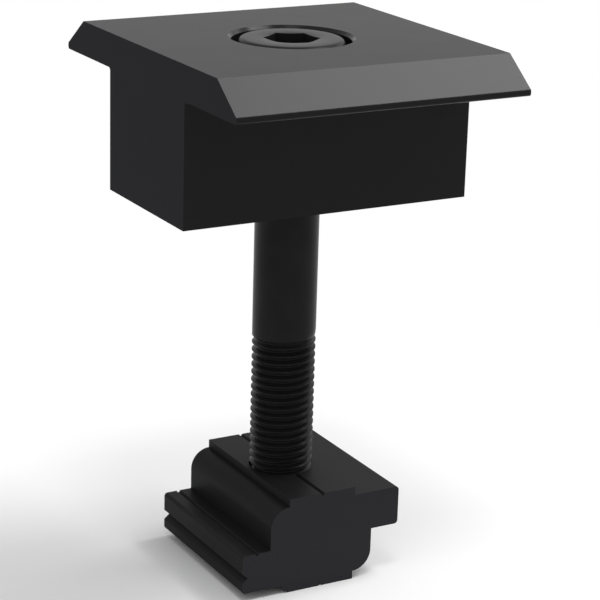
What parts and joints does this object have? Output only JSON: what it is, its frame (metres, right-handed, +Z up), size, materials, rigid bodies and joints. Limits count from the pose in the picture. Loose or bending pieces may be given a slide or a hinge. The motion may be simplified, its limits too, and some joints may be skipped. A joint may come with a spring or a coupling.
{
  "type": "solar panel mid clamp",
  "caption": "T-shaped extruded clamp with a socket head screw and a channel nut, for holding two panel frames down on a slotted rail.",
  "frame": {"origin": "middle of the channel nut's foot, on the screw's axis", "axes": "+Z up the screw to the clamp's top face, +X along the clamp body's length, +Y along the rail and the nut"},
  "size_m": [0.0384, 0.0454, 0.0675],
  "materials": {
    "anodised_body": "satin black anodised, fine drawn grain",
    "black_screw": "black oxide with a light oil sheen",
    "anodised_nut": "satin black anodised"
  },
  "bodies": {
    "nut": {"nut": "anodised_nut"},
    "clamp_body": {"clamp_body": "anodised_body"},
    "screw": {"bolt": "black_screw"}
  },
  "joints": [
    {"name": "clamp_travel", "type": "slide", "parent": "nut", "child": "clamp_body", "axis": [0, 0, 1], "range_m": [-0.016, 0.004]},
    {"name": "screw_turn", "type": "hinge", "parent": "clamp_body", "child": "screw", "pos_m": [0, 0, 0.0594], "axis": [0, 0, 1], "range_deg": [-5761, 1441]}
  ],
  "couplings": [
    {"joint": "screw_turn", "follows": "clamp_travel", "rad_per_m": 6283.2}
  ]
}
